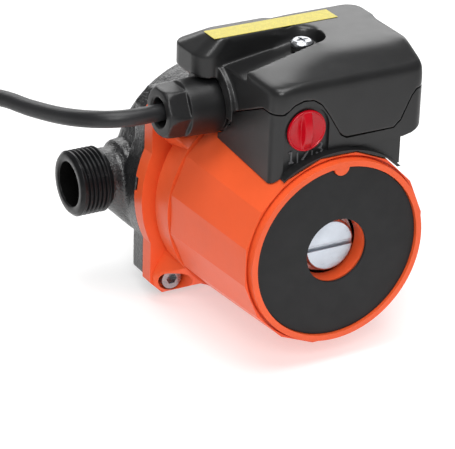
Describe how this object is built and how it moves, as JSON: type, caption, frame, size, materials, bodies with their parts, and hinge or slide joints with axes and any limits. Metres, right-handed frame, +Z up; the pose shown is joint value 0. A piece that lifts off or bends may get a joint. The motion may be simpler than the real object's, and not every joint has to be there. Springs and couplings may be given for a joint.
{
  "type": "circulator pump",
  "caption": "Wet-rotor circulator pump: cast volute with two threaded ports in line, faceted motor, terminal box with speed knob, cable gland and mains lead.",
  "frame": {"origin": "where the pipe axis crosses the shaft axis, inside the volute", "axes": "+X along the pipe toward the right port; -Y out through the nameplate along the shaft; +Z up through the terminal box"},
  "size_m": [0.2658, 0.143, 0.1201],
  "materials": {
    "cast_iron": "rough black casting",
    "seal_rubber": "matte",
    "stainless": "drawn",
    "carbon": "ground carbon",
    "ceramic": "ground ceramic",
    "rotor_steel": "turned",
    "impeller_plastic": "moulded",
    "brass_part": "turned",
    "motor_paint": "satin orange paint",
    "lamination": "stacked sheet",
    "copper_wire": "enamelled copper",
    "zinc_screw": "zinc plated",
    "plate_black": "satin",
    "nickel_brass": "nickel plated",
    "box_plastic": "fine satin moulding",
    "label_yellow": "printed film",
    "knob_red": "gloss",
    "white_plastic": "moulded",
    "lead_cores": "insulated cores",
    "cord_rubber": "matte jacket",
    "tie_strap": "coated wire strap"
  },
  "bodies": {
    "pump": {"pump_casing": "cast_iron", "neck_ring": "brass_part", "casing_gasket": "seal_rubber", "bearing_plate": "stainless", "rotor_can": "stainless", "front_bearing": "carbon", "rear_bearing": "carbon", "motor_housing": "motor_paint", "stator_core": "lamination", "stator_windings": "copper_wire", "flange_screws": "zinc_screw", "nameplate": "plate_black", "vent_seal": "seal_rubber", "terminal_box_base": "box_plastic", "speed_switch": "white_plastic", "run_capacitor": "white_plastic", "terminal_block": "white_plastic", "terminal_screws": "brass_part", "box_screws": "zinc_screw", "supply_leads": "lead_cores", "gland_body": "box_plastic", "gland_seal": "seal_rubber", "cord_tube": "cord_rubber", "cord_coil": "cord_rubber", "cord_tail": "cord_rubber", "cord_tie": "tie_strap", "plug_body": "cord_rubber", "plug_blades": "brass_part"},
    "rotor": {"shaft": "ceramic", "rotor_core": "rotor_steel", "thrust_washer": "ceramic", "impeller": "impeller_plastic"},
    "knob": {"speed_knob": "knob_red"},
    "vent": {"vent_plug": "nickel_brass"},
    "nut": {"gland_nut": "box_plastic"},
    "cover": {"terminal_box_cover": "box_plastic", "cover_label": "label_yellow", "screw_seal": "seal_rubber"},
    "screw": {"cover_screw": "zinc_screw"}
  },
  "joints": [
    {"name": "rotor_spin", "type": "hinge", "parent": "pump", "child": "rotor", "pos_m": [0, -0.05, 0], "axis": [0, 1, 0], "continuous": true},
    {"name": "speed_turn", "type": "hinge", "parent": "pump", "child": "knob", "pos_m": [-0.0125, -0.0915, 0.0496], "axis": [0, 1, 0], "range_deg": [-35, 35]},
    {"name": "vent_turn", "type": "hinge", "parent": "pump", "child": "vent", "pos_m": [0, -0.09, 0], "axis": [0, -1, 0], "continuous": true},
    {"name": "gland_turn", "type": "hinge", "parent": "pump", "child": "nut", "pos_m": [-0.04, -0.046, 0.046], "axis": [-1, 0, 0], "continuous": true},
    {"name": "cover_lift", "type": "slide", "parent": "pump", "child": "cover", "axis": [0, 0, 1], "range_m": [0, 0.045]},
    {"name": "screw_turn", "type": "hinge", "parent": "cover", "child": "screw", "pos_m": [0.0025, -0.0607, 0.07], "axis": [0, 0, 1], "continuous": true}
  ]
}
